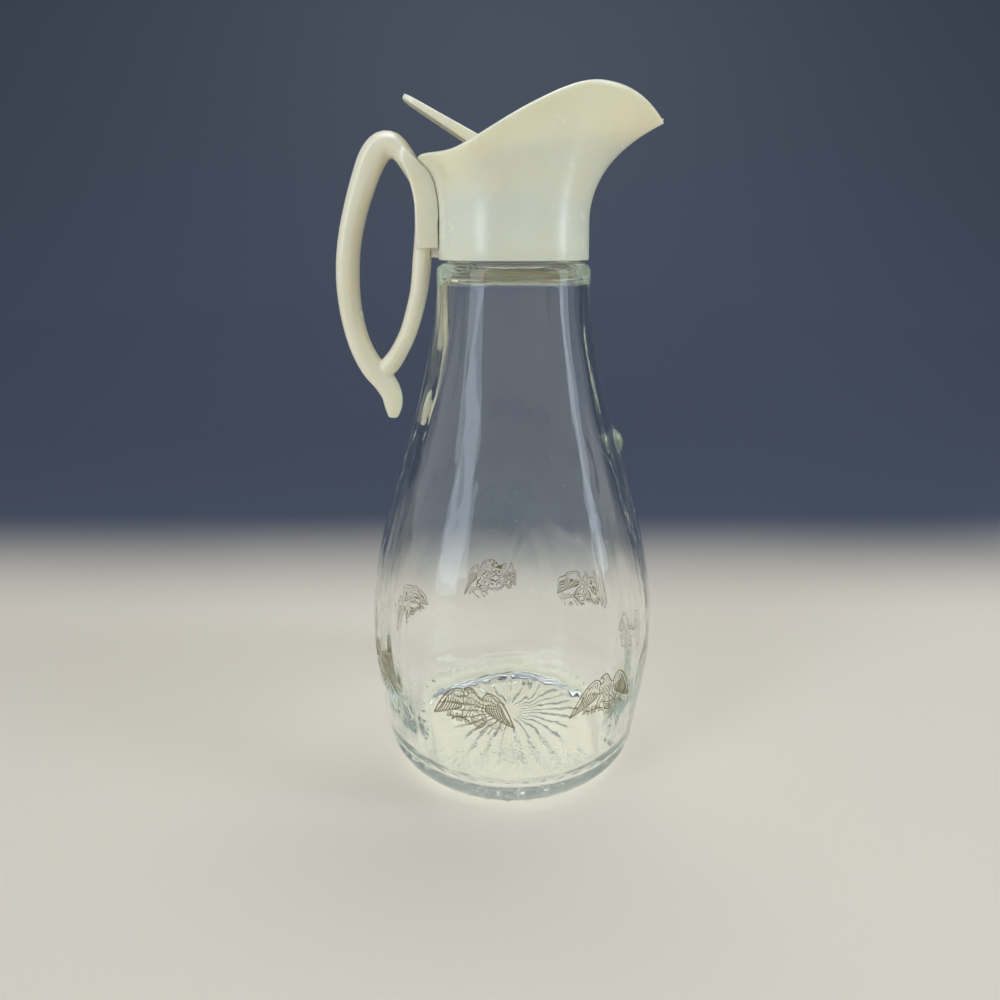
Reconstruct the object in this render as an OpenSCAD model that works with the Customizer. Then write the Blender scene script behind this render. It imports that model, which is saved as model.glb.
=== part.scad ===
// Syrup dispenser: a glass bottle with a screw-on plastic pouring top, a loop handle
// and a flap lid that is opened with the thumb.
// Origin: centre of the ring that the bottle stands on. +Z is up, the spout points to +X
// and the handle to -X. All lengths are in millimetres.

/* [Bottle body] */
// Outer radius of the flat ring that the bottle stands on
foot_r = 35.2; // [32:0.1:37]
// Width of that flat ring
foot_band = 2.6; // [1.5:0.1:5]
// Radius of the round heel above the foot
heel_round = 11; // [8:0.1:13]
// Radius at the widest place
belly_r = 49.8; // [47:0.1:53]
// Height of the widest place
belly_z = 51; // [46:0.5:58]
// Radius of the glass just under the shoulder
shoulder_r = 24; // [23.5:0.1:26]
// Height of the shoulder's flat top
shoulder_z = 173; // [166:0.5:186]
// Rounding of the shoulder's outer corner
shoulder_round = 2.8; // [1.5:0.1:3.5]
// Thickness of the side wall
glass_wall = 2.8; // [2.4:0.1:3.6]
// Thickness of the glass under the shoulder
shoulder_glass = 4.5; // [3.5:0.1:6]
// Height of the inner floor above the table
floor_z = 7; // [5.5:0.1:10]
// Rounding between the inner floor and the wall
floor_round = 9; // [6:0.1:11]
// Depth of the hollow under the base, at its middle
push_up = 2.6; // [1.5:0.1:4]

/* [Sunburst under the base] */
// Number of rays
ray_count = 26; // [16:1:32]
// Radius where the rays begin
ray_inner_r = 8; // [6:0.5:12]
// Radius where the rays end
ray_outer_r = 25; // [20:0.5:28]
// Width of a ray at its outer end
ray_width = 2.6; // [1.5:0.1:3.5]
// Depth of the rays in the glass
ray_depth = 0.7; // [0.4:0.1:1.2]

/* [Bottle neck] */
// Radius of the neck's outer wall
neck_r = 20.6; // [20:0.1:20.9]
// Radius of the mouth
mouth_r = 16.9; // [15:0.1:17.5]
// Height of the neck above the shoulder
neck_h = 17; // [14:0.1:20]
// Rounding of the lip's two edges
lip_round = 1.1; // [0.6:0.1:1.6]

/* [Glass lug] */
// Height of the small round lug on the spout side
lug_z = 114.8; // [100:0.1:140]
// Radius of the lug where it leaves the glass
lug_r = 3.9; // [2.5:0.1:4.5]
// How far the lug stands proud
lug_proud = 1.7; // [1:0.1:2.2]

/* [Collar] */
// Gap between the collar and the glass shoulder
collar_gap = 0.6; // [0.4:0.1:1.5]
// Outer radius of the collar at its lower edge
collar_base_r = 23.3; // [23.1:0.1:23.8]
// Outer radius of the collar where the spout begins
collar_top_r = 23; // [22.9:0.05:23.2]
// Radius of the socket that the neck screws into
socket_r = 21.7; // [21.5:0.05:22]
// Height above the collar's lower edge where the spout begins to flare
flare_h = 11.4; // [9:0.1:12.4]
// Thickness of the deck inside the top
deck_t = 1.8; // [1.4:0.1:2.4]
// Radius of the pouring hole in the deck
pour_hole_r = 15.5; // [12:0.1:16]

/* [Spout] */
// Distance from the axis to the spout's tip
tip_x = 43.9; // [40:0.1:46]
// Height of the tip above the collar's lower edge
tip_h = 38; // [36:0.1:39]
// Distance from the axis to the back of the rim
back_x = 28.7; // [27.5:0.1:30]
// Height of the rim at the back above the collar's lower edge
back_h = 28.3; // [27.6:0.1:29]
// Largest half width of the rim
brim_w = 27; // [26:0.1:29]
// How far behind the axis the rim is widest
brim_x = 2; // [0:0.1:5]
// Height of the crest of the rim above the collar's lower edge
crest_h = 45; // [43:0.1:46]
// Distance from the axis to the crest
crest_x = 24; // [20:0.1:27]
// Thickness of the spout's wall
spout_wall = 1.8; // [1.5:0.1:2]

/* [Lid] */
// Distance of the hinge behind the axis
hinge_x = 8.5; // [7:0.1:9.5]
// Height of the hinge above the collar's lower edge
hinge_h = 28.6; // [28:0.1:29]
// Radius of the hinge pin
pin_r = 1; // [0.8:0.05:1.2]
// Depth of the pin in each of its ears
pin_grip = 3; // [2:0.1:3.5]
// Outer radius of the lid's hinge barrel
barrel_r = 2.2; // [2:0.1:2.4]
// Length of the barrel
barrel_l = 35; // [30:0.1:36]
// Thickness of the flap
flap_t = 1.8; // [1.4:0.1:2.2]
// Upward slope of the flap towards the tip
flap_slope = 9; // [7:0.5:11]
// How far the flap reaches behind the hinge
flap_back = 11.5; // [8:0.5:12]
// Radius of the arc that ends it there
flap_back_r = 17.6; // [14:0.1:17.6]
// Distance from the hinge to the front edge of the flap
flap_l = 43.5; // [38:0.5:45]
// Distance from the axis to the end of the thumb lever
lever_x = 32.5; // [30:0.1:34]
// Height of the lever's end above the hinge
lever_h = 16.1; // [14:0.1:17]
// Width of the thumb lever
lever_w = 11.6; // [10:0.5:16]
// Thickness of the lever at its end
lever_tip_t = 1; // [1:0.1:1.8]
// Rounding of the lever's two corners
lever_round = 4.5; // [2:0.5:5]
// Height of the lever's lower face above the hinge's centre
lever_lift = 0.9; // [0.2:0.1:1]
// Length over which the lever fades into the flap
lever_fade = 7; // [4:0.5:10]
// Thickness of the lever at its root
lever_root_t = 4; // [3.6:0.1:5]

/* [Handle] */
// Half width of the loop across the hand
grip_w = 4.7; // [4:0.1:5.5]
// Half width of the bracket that clasps the collar
bracket_w = 5.4; // [5:0.1:6.5]
// Lower end of the bracket above the collar's edge
bracket_lift = 3.4; // [2:0.1:6]
// Half width of the rail on the collar
rail_w = 2.6; // [2:0.1:3.2]
// How far the rail stands out from the collar
rail_out = 2.2; // [1.6:0.1:2.6]
// Top of the rail above the collar's lower edge
rail_top = 18; // [14:0.5:19]

/* [Seal] */
// Thickness of the sealing ring
seal_t = 1.2; // [0.8:0.1:1.8]
// Gap between the sealing ring's rim and the socket wall
seal_side = 0.6; // [0.4:0.1:1]

/* [Clearances] */
// Between faces that are pressed together
seat_gap = 0.05; // [0.03:0.01:0.08]
// Between the handle and the top that it is bonded to
bond_gap = 0.15; // [0.1:0.01:0.25]
// Radial clearance of the pin in the lid's barrel
pin_fit = 0.06; // [0.02:0.01:0.09]
// Radial clearance of the pin in its ears
ear_fit = 0.03; // [0.02:0.01:0.06]
// Between the lid and the spout's inner wall
lid_gap = 0.7; // [0.5:0.05:1]

/* [Hidden] */

$fn = 96;

glass = [0.80, 0.88, 0.84, 0.45];
ivory = [0.93, 0.90, 0.80];
rubber = [0.85, 0.84, 0.80];
steel = [0.72, 0.73, 0.75];

// Heights that several pieces share
collar_z = shoulder_z + collar_gap;
lip_z = shoulder_z + neck_h;
deck_z = lip_z + seal_t + 2 * seat_gap;
bowl_z = deck_z + deck_t;
flare_z = collar_z + flare_h;
back_z = collar_z + back_h;
crest_z = collar_z + crest_h;
tip_z = collar_z + tip_h;
hinge_z = collar_z + hinge_h;
lever_z = hinge_z + lever_h;

// The pin ends inside the two ears
barrel_side = 0.5;
ear_in = barrel_l / 2 + barrel_side;
pin_l = 2 * (ear_in + pin_grip);

// Point at share t of the cubic curve with end points a, d and control points b, c
function curve(a, b, c, d, t) =
    pow(1 - t, 3) * a + 3 * pow(1 - t, 2) * t * b + 3 * (1 - t) * t * t * c + t * t * t * d;

// Points of that curve in n steps, without the first one
function curve_points(a, b, c, d, n) = [for (i = [1:n]) curve(a, b, c, d, i / n)];

// Points of an arc about c from angle a0 to a1, in n steps
function arc_points(c, r, a0, a1, n) =
    [for (i = [0:n]) c + r * [cos(a0 + (a1 - a0) * i / n), sin(a0 + (a1 - a0) * i / n)]];

// Height of a smooth step between two points with slopes m0 and m1
function blend(x0, z0, m0, x1, z1, m1, x) =
    let (l = x1 - x0, s = (x - x0) / l)
    (2 * pow(s, 3) - 3 * s * s + 1) * z0 + (pow(s, 3) - 2 * s * s + s) * l * m0
    + (3 * s * s - 2 * pow(s, 3)) * z1 + (pow(s, 3) - s * s) * l * m1;

function unit(v) = v / norm(v);

// Bottle outline: heel arc, then one curve to the belly and one to the shoulder
heel_turn = 82;
heel_centre = [foot_r, heel_round];
heel_end = heel_centre + heel_round * [sin(heel_turn), -cos(heel_turn)];
heel_dir = [cos(heel_turn), sin(heel_turn)];
belly = [belly_r, belly_z];
neck_start = [shoulder_r, shoulder_z - shoulder_round];
heel_pull = 14;
belly_drop = 16;
belly_rise = 38;
shoulder_drop = 40;
shoulder_lean = 0.8;
curve_steps = 14;

outer_wall = concat(
    arc_points(heel_centre, heel_round, -90, heel_turn - 90, 8),
    curve_points(heel_end, heel_end + heel_pull * heel_dir, belly - [0, belly_drop], belly, 6),
    curve_points(belly, belly + [0, belly_rise],
        neck_start + [shoulder_lean, -shoulder_drop], neck_start, curve_steps)
);

// Inner wall: the same curves set in by the wall
heel_glass = 0.6;
inner_pull = [1, 12];
inner_drop = [0, 14];
inner_heel = [heel_end[0] - glass_wall - heel_glass, floor_z + floor_round];
inner_top = [shoulder_r - glass_wall, shoulder_z - shoulder_glass - shoulder_round];
inner_belly = belly - [glass_wall, 0];
inner_corner = inner_top[0] - mouth_r;

inner_wall = concat(
    arc_points(inner_heel - [floor_round, 0], floor_round, -90, 0, 8),
    curve_points(inner_heel, inner_heel + inner_pull, inner_belly - inner_drop, inner_belly, 6),
    curve_points(inner_belly, inner_belly + [0, belly_rise],
        inner_top + [shoulder_lean, -shoulder_drop], inner_top, curve_steps),
    arc_points([mouth_r, inner_top[1]], inner_corner, 0, 75, 5)
);

module bottle_outside() {
    rotate_extrude()
        polygon(concat(
            [[0, 0]],
            outer_wall,
            arc_points(neck_start - [shoulder_round, 0], shoulder_round, 0, 90, 6),
            [[neck_r, shoulder_z]],
            arc_points([neck_r - lip_round, lip_z - lip_round], lip_round, 0, 90, 4),
            [[0, lip_z]]
        ));
}

module bottle_inside() {
    rotate_extrude()
        polygon(concat(
            [[0, floor_z]],
            inner_wall,
            [[mouth_r, inner_top[1] + inner_corner]],
            [[mouth_r, lip_z - lip_round]],
            arc_points([mouth_r + lip_round, lip_z - lip_round], lip_round, 180, 90, 4),
            [[0, lip_z + 1]]
        ));
}

// Shallow hollow that leaves only the standing ring on the table
module base_hollow() {
    edge_r = foot_r - foot_band;
    rotate_extrude()
        polygon([
            [0, -1],
            [edge_r, -1],
            [edge_r, 0],
            [edge_r - 2, push_up * 0.55],
            [edge_r - 5, push_up * 0.8],
            [0, push_up]
        ]);
}

module sunburst() {
    for (i = [0:ray_count - 1])
        rotate([0, 0, (i + 0.5) * 360 / ray_count])
            linear_extrude(push_up + ray_depth)
                polygon([
                    [ray_inner_r, -ray_width * 0.15],
                    [ray_outer_r, -ray_width / 2],
                    [ray_outer_r, ray_width / 2],
                    [ray_inner_r, ray_width * 0.15]
                ]);
}

// Radius of the outer wall at height z, above the belly
function wall_r(z) = lookup(z, [for (p = outer_wall) if (p[1] > belly_z - 1) [p[1], p[0]]]);

module glass_lug() {
    ball_r = (lug_r * lug_r + lug_proud * lug_proud) / (2 * lug_proud);
    translate([wall_r(lug_z) + lug_proud - ball_r, 0, lug_z])
        sphere(r = ball_r);
}

module bottle() {
    color(glass)
        difference() {
            union() {
                bottle_outside();
                glass_lug();
            }
            bottle_inside();
            base_hollow();
            sunburst();
        }
}

module mouth_seal() {
    color(rubber)
        translate([0, 0, lip_z + seat_gap])
            difference() {
                cylinder(r = socket_r - seal_side, h = seal_t);
                translate([0, 0, -1])
                    cylinder(r = mouth_r, h = seal_t + 2);
            }
}

// Height of the spout's rim above a point x on the long axis
rim_dip = [-15, collar_z + 28.9];
rim_rise = [4, collar_z + 38.5];
back_fall = -0.02;
dip_climb = 0.41;
rise_climb = 0.47;
tip_fall = -0.85;
function rim_z(x) =
    x < rim_dip[0] ? blend(-back_x, back_z, back_fall, rim_dip[0], rim_dip[1], dip_climb, x)
    : x < rim_rise[0] ? blend(rim_dip[0], rim_dip[1], dip_climb, rim_rise[0], rim_rise[1], rise_climb, x)
    : x < crest_x ? blend(rim_rise[0], rim_rise[1], rise_climb, crest_x, crest_z, 0, x)
    : blend(crest_x, crest_z, 0, tip_x, tip_z, tip_fall, x);

// Point of the rim at turn a, 0 at the tip and 180 at the back: a teardrop seen from above.
// It is set in by depth, and by more than that at the pointed tip.
beak_power = 2.2;
tip_share = 1.27;
function rim(a, depth) =
    let (
        c = cos(a),
        w = brim_w - depth,
        reach = c > 0 ? tip_x - tip_share * depth + brim_x : back_x - depth - brim_x,
        x = -brim_x + reach * c,
        y = c > 0 ? w * (1 - pow(c, beak_power)) : w * sqrt(1 - c * c)
    )
    [x, sin(a) < 0 ? -y : y, rim_z(x)];

// Three values v, for the tip, the sides and the back, blended round the spout
function around(v, a) =
    let (c = cos(a))
    v[1] + (v[c > 0 ? 0 : 2] - v[1]) * c * c;

// Lean of the wall at the rim, and how far the wall runs straight from each end
rim_lean = [25, 72, 50];
low_pull = [14, 9, 13.5];
rim_pull = [11, 9, 4.5];

// Point at turn a and height share t of the spout's outer face, set in by depth
function spout_point(a, t, depth) =
    let (
        foot_at = collar_top_r - depth,
        foot = [foot_at * cos(a), foot_at * sin(a), flare_z],
        top = rim(a, depth),
        flat = unit([top[0] - foot[0], top[1] - foot[1], 0]),
        lean = around(rim_lean, a)
    )
    curve(foot, foot + [0, 0, around(low_pull, a)],
        top - around(rim_pull, a) * (cos(lean) * flat + [0, 0, sin(lean)]), top, t);

// Height share at which that face reaches the level z, found by halving
function level(a, z, depth, low = 0, high = 1, turns = 16) =
    let (mid = (low + high) / 2)
    turns == 0 ? mid
    : spout_point(a, mid, depth)[2] < z ? level(a, z, depth, mid, high, turns - 1)
    : level(a, z, depth, low, mid, turns - 1);

spout_turns = 72;
spout_rows = 10;
turns = [for (i = [0:spout_turns - 1]) i * 360 / spout_turns];

// Ring of the face at row j of spout_rows between the level z and the rim
function spout_ring(j, z, depth) =
    [for (a = turns)
        let (
            t0 = z <= flare_z ? 0 : level(a, z, depth),
            p = spout_point(a, t0 + (1 - t0) * j / spout_rows, depth)
        )
        j == 0 ? [p[0], p[1], max(z, flare_z)] : p];

// Closed solid through a stack of rings, with a point in the middle of each end
module loft(rings, low_end, high_end) {
    n = len(rings);
    m = len(rings[0]);
    points = concat([for (r = rings) each r], [low_end, high_end]);
    faces = concat(
        [for (i = [0:m - 1]) [n * m, i, (i + 1) % m]],
        [for (j = [0:n - 2]) for (i = [0:m - 1])
            let (k = (i + 1) % m)
            each [
                [j * m + i, (j + 1) * m + i, (j + 1) * m + k],
                [j * m + i, (j + 1) * m + k, j * m + k]
            ]],
        [for (i = [0:m - 1]) [n * m + 1, (n - 1) * m + (i + 1) % m, (n - 1) * m + i]]
    );
    polyhedron(points = points, faces = faces);
}

// Solid inside the outer face, set in by depth, from the level z to the rim
module spout_core(depth, z) {
    rings = [for (j = [0:spout_rows]) spout_ring(j, z, depth)];
    loft(rings, [0, 0, max(z, flare_z)], [0, 0, rim_z(0)]);
}

// The spout as one cup: outer face, rounded rim, inner face and a thick floor
module spout_cup() {
    rim_steps = 4;
    rim_head = 0.45 * spout_wall;
    rings = concat(
        [for (j = [0:spout_rows]) spout_ring(j, flare_z, 0)],
        [for (j = [1:rim_steps - 1])
            [for (a = turns)
                spout_point(a, 1, spout_wall * (1 - cos(j * 180 / rim_steps)) / 2)
                + [0, 0, rim_head * sin(j * 180 / rim_steps)]]],
        [for (j = [spout_rows:-1:0]) spout_ring(j, bowl_z, spout_wall)]
    );
    loft(rings, [0, 0, flare_z], [0, 0, bowl_z]);
}

// The collar ends a hair inside the spout's many-sided foot
module collar() {
    seam_step = 0.07;
    translate([0, 0, collar_z])
        cylinder(r1 = collar_base_r, r2 = collar_top_r - seam_step, h = flare_z - collar_z);
}

// Dovetail rail at the back of the collar, grown by a clearance for its slot
module rail(gap) {
    lift = 0.6;
    undercut = 0.7;
    translate([0, 0, collar_z + lift - gap])
        linear_extrude(rail_top - lift + gap)
            polygon([
                [-socket_r, -rail_w + undercut - gap],
                [-collar_base_r - rail_out - gap, -rail_w - gap],
                [-collar_base_r - rail_out - gap, rail_w + gap],
                [-socket_r, rail_w - undercut + gap]
            ]);
}

// One of the two ears that hold the pin, for side -1 or 1, ending in the spout's wall
flap_depth = 8;
module ear(side) {
    r = barrel_r + 0.3;
    chamfer = 0.4 * r;
    length = brim_w - ear_in;
    intersection() {
        translate([-hinge_x, side > 0 ? ear_in + length : -ear_in, hinge_z])
            rotate([90, 0, 0])
                linear_extrude(length)
                    polygon([
                        [-r, chamfer - r],
                        [chamfer - r, -r],
                        [r - chamfer, -r],
                        [r, chamfer - r],
                        [r, r - chamfer],
                        [r - chamfer, r],
                        [chamfer - r, r],
                        [-r, r - chamfer]
                    ]);
        spout_core(spout_wall / 2, hinge_z - flap_depth);
    }
}

module pour_spout() {
    color(ivory)
        difference() {
            union() {
                spout_cup();
                collar();
                rail(0);
                ear(-1);
                ear(1);
            }
            translate([0, 0, collar_z - 1])
                cylinder(r = socket_r, h = deck_z - collar_z + 1);
            translate([0, 0, deck_z - 1])
                cylinder(r = pour_hole_r, h = deck_t + 2);
            translate([-hinge_x, -pin_l / 2 - 0.1, hinge_z])
                rotate([-90, 0, 0])
                    cylinder(r = pin_r + ear_fit, h = pin_l + 0.2);
        }
}

module hinge_pin() {
    color(steel)
        translate([-hinge_x, -pin_l / 2, hinge_z])
            rotate([-90, 0, 0])
                cylinder(r = pin_r, h = pin_l);
}

// Flap: a sloping slab trimmed to the inside of the spout, with a round front and back
module flap() {
    wide_from = barrel_r + 1.2;
    intersection() {
        spout_core(spout_wall + lid_gap, hinge_z - flap_depth);
        translate([-hinge_x, 0, hinge_z])
            rotate([0, -flap_slope, 0])
                translate([0, 0, -flap_t / 2])
                    intersection() {
                        union() {
                            translate([flap_back_r - flap_back, 0, 0])
                                cylinder(r = flap_back_r, h = flap_t);
                            linear_extrude(flap_t)
                                polygon([
                                    [wide_from, 1 - flap_back_r],
                                    [wide_from + 1, -brim_w],
                                    [flap_l, -brim_w],
                                    [flap_l, brim_w],
                                    [wide_from + 1, brim_w],
                                    [wide_from, flap_back_r - 1]
                                ]);
                        }
                        cylinder(r = flap_l, h = flap_t);
                    }
    }
}

// Thumb lever: a thin wedge seen from the side, with two round corners seen from above
module lever() {
    root = [-hinge_x, hinge_z + lever_lift];
    low = hinge_z - barrel_r;
    high = 2 * lever_h;
    intersection() {
        translate([0, lever_w / 2, 0])
            rotate([90, 0, 0])
                linear_extrude(lever_w)
                    polygon([
                        [-lever_x, lever_z - lever_tip_t / 2],
                        [-lever_x + lever_tip_t, lever_z + lever_tip_t / 2],
                        root + [0, lever_root_t],
                        [lever_fade - hinge_x, hinge_z + lever_fade * tan(flap_slope) + flap_t / 2],
                        [lever_fade - hinge_x, hinge_z],
                        [-hinge_x, hinge_z],
                        root
                    ]);
        union() {
            for (side = [-1, 1])
                translate([-lever_x + lever_round, side * (lever_w / 2 - lever_round), low])
                    cylinder(r = lever_round, h = high);
            translate([-lever_x, -lever_w / 2 + lever_round, low])
                cube([lever_round, lever_w - 2 * lever_round, high]);
            translate([-lever_x + lever_round, -lever_w / 2, low])
                cube([lever_x, lever_w, high]);
        }
    }
}

module lid() {
    color(ivory)
        difference() {
            union() {
                flap();
                lever();
                translate([-hinge_x, -barrel_l / 2, hinge_z])
                    rotate([-90, 0, 0])
                        cylinder(r = barrel_r, h = barrel_l);
            }
            translate([-hinge_x, -barrel_l / 2 - 1, hinge_z])
                rotate([-90, 0, 0])
                    cylinder(r = pin_r + pin_fit, h = barrel_l + 2);
        }
}

// Handle loop. A station is [x, height above the collar's edge, thickness, half width].
// The main strand runs from the bracket over the top and down into the curled tail.
main_strand = [
    [-27.5, 21.4, 6, bracket_w],
    [-32.6, 29.3, 6, grip_w],
    [-35.6, 32, 7.4, grip_w],
    [-39, 32, 8, grip_w],
    [-42, 29, 8.2, grip_w],
    [-44.7, 23.6, 7.8, grip_w],
    [-48.1, 14.7, 7.2, grip_w],
    [-50.7, 5.1, 7.1, grip_w],
    [-51.9, -4.8, 7.2, grip_w],
    [-51.6, -15.4, 6.9, grip_w],
    [-49.5, -25.6, 6.9, grip_w],
    [-46, -33, 7.4, grip_w],
    [-42.3, -37.6, 7.4, grip_w - 0.4],
    [-40, -42, 6.8, grip_w - 1],
    [-39.6, -46.2, 5.8, grip_w - 1.6],
    [-39.9, -49.8, 3.2, grip_w - 3]
];
// The inner strand runs from the bracket down to the bottom of the loop
inner_strand = [
    [-27.2, 19.4, 6, bracket_w - 1],
    [-27.3, 9.4, 6, grip_w],
    [-28.4, -0.1, 5.9, grip_w],
    [-29.5, -8.2, 5.6, grip_w],
    [-31.1, -14.6, 5.5, grip_w],
    [-33.6, -22, 5.4, grip_w],
    [-37, -28.4, 5.6, grip_w],
    [-40.2, -32.7, 6, grip_w - 0.2],
    [-43.4, -35.6, 4, grip_w - 1]
];

// Station at share t between stations b and c of four in a row
function mid_station(a, b, c, d, t) =
    0.5 * (2 * b + (c - a) * t + (2 * a - 5 * b + 4 * c - d) * t * t
        + (3 * b - a - 3 * c + d) * t * t * t);

// All stations of a strand, with steps between each two
function strand(s, steps) =
    let (n = len(s))
    concat(
        [for (i = [0:n - 2]) for (j = [0:steps - 1])
            mid_station(s[max(i - 1, 0)], s[i], s[i + 1], s[min(i + 2, n - 1)], j / steps)],
        [s[n - 1]]
    );

// Rounded strand along the stations: each ring is a superellipse square to the line
module sweep(stations, sides) {
    n = len(stations);
    roundness = 0.85;
    points = concat(
        [for (j = [0:n - 1])
            let (
                s = stations[j],
                before = stations[max(j - 1, 0)],
                after = stations[min(j + 1, n - 1)],
                run = unit([after[0] - before[0], after[1] - before[1]]),
                out = [-run[1], run[0]]
            )
            for (i = [0:sides - 1])
                let (
                    c = cos(i * 360 / sides),
                    q = sin(i * 360 / sides),
                    u = s[2] / 2 * sign(c) * pow(abs(c), roundness),
                    v = s[3] * sign(q) * pow(abs(q), roundness)
                )
                [s[0] + u * out[0], v, s[1] + u * out[1]]],
        [[stations[0][0], 0, stations[0][1]], [stations[n - 1][0], 0, stations[n - 1][1]]]
    );
    faces = concat(
        [for (i = [0:sides - 1]) [n * sides, (i + 1) % sides, i]],
        [for (j = [0:n - 2]) for (i = [0:sides - 1])
            let (k = (i + 1) % sides)
            each [
                [j * sides + i, j * sides + k, (j + 1) * sides + k],
                [j * sides + i, (j + 1) * sides + k, (j + 1) * sides + i]
            ]],
        [for (i = [0:sides - 1])
            [n * sides + 1, (n - 1) * sides + i, (n - 1) * sides + (i + 1) % sides]]
    );
    polyhedron(points = points, faces = faces);
}

// Bracket: the flat-sided block between the loop and the collar
module bracket() {
    inside = 20;
    translate([0, bracket_w, 0])
        rotate([90, 0, 0])
            linear_extrude(2 * bracket_w)
                polygon([
                    [-inside, bracket_lift],
                    [-29.5, bracket_lift],
                    [-29.6, 14.4],
                    [-30.3, 19.5],
                    [-31.7, 24.5],
                    [-33.6, 27.6],
                    [-32.2, 31.3],
                    [-back_x - 0.1, back_h - 0.1],
                    [-inside, back_h - 0.9]
                ]);
}

module handle() {
    color(ivory)
        difference() {
            translate([0, 0, collar_z]) {
                sweep(strand(main_strand, 3), 20);
                sweep(strand(inner_strand, 3), 20);
                bracket();
            }
            spout_core(-bond_gap, flare_z);
            translate([0, 0, collar_z - 1])
                cylinder(r = collar_base_r + bond_gap, h = flare_z - collar_z + 1);
            rail(bond_gap);
        }
}

bottle();
mouth_seal();
pour_spout();
handle();
lid();
hinge_pin();
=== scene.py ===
import math

import bmesh
import bpy
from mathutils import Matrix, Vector, noise


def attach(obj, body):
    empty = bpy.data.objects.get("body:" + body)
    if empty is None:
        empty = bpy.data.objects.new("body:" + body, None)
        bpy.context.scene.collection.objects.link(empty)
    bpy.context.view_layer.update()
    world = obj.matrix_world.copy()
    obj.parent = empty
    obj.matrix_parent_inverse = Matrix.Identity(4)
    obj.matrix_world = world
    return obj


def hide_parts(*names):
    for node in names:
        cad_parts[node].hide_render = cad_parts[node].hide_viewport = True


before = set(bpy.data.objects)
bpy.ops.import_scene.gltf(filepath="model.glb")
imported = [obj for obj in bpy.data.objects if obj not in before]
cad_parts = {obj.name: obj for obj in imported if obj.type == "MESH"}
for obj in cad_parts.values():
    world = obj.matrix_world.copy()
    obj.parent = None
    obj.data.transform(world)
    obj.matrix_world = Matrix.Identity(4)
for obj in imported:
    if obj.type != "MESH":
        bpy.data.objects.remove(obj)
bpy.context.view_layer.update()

MM = 0.001
TAU = 2 * math.pi


# ---- Camera and light paths ----

CAMERA_PLACE, CAMERA_DOWN = (-0.0042, -0.2363, 0.1774), 19.36
CAMERA_LENS, CAMERA_SENSOR, CAMERA_NEAR = 25.92, 36, 0.01
CLEAR_BOUNCES, MATT_BOUNCES = 96, 8  # with fewer the thick edges of the glass turn black


def make_camera():
    """The photograph's view: from just above the shoulder, looking down 19 degrees."""
    data = bpy.data.cameras.new("camera")
    data.sensor_width = CAMERA_SENSOR
    data.lens = CAMERA_LENS
    data.clip_start = CAMERA_NEAR
    camera = bpy.data.objects.new("camera", data)
    bpy.context.collection.objects.link(camera)
    camera.location = CAMERA_PLACE
    camera.rotation_euler = (math.radians(90 - CAMERA_DOWN), 0, 0)
    bpy.context.scene.camera = camera


make_camera()
bpy.context.scene.view_settings.view_transform = "Standard"
light_paths = bpy.context.scene.cycles
light_paths.max_bounces = CLEAR_BOUNCES
light_paths.transmission_bounces = CLEAR_BOUNCES
light_paths.glossy_bounces = CLEAR_BOUNCES
light_paths.diffuse_bounces = MATT_BOUNCES


# ---- Shader values ----

class Value:
    """One socket of a node tree, with the arithmetic that the finishes use."""

    def __init__(self, finish, socket):
        self.finish = finish
        self.socket = socket

    def _math(self, operation, *values):
        return self.finish.node("ShaderNodeMath", {"operation": operation},
                                dict(enumerate(values)))

    def __add__(self, other):
        return self._math("ADD", self, other)

    def __radd__(self, other):
        return self._math("ADD", other, self)

    def __sub__(self, other):
        return self._math("SUBTRACT", self, other)

    def __rsub__(self, other):
        return self._math("SUBTRACT", other, self)

    def __mul__(self, other):
        return self._math("MULTIPLY", self, other)

    def __rmul__(self, other):
        return self._math("MULTIPLY", other, self)

    def __pow__(self, other):
        return self._math("POWER", self, other)

    def __abs__(self):
        return self._math("ABSOLUTE", self)


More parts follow.
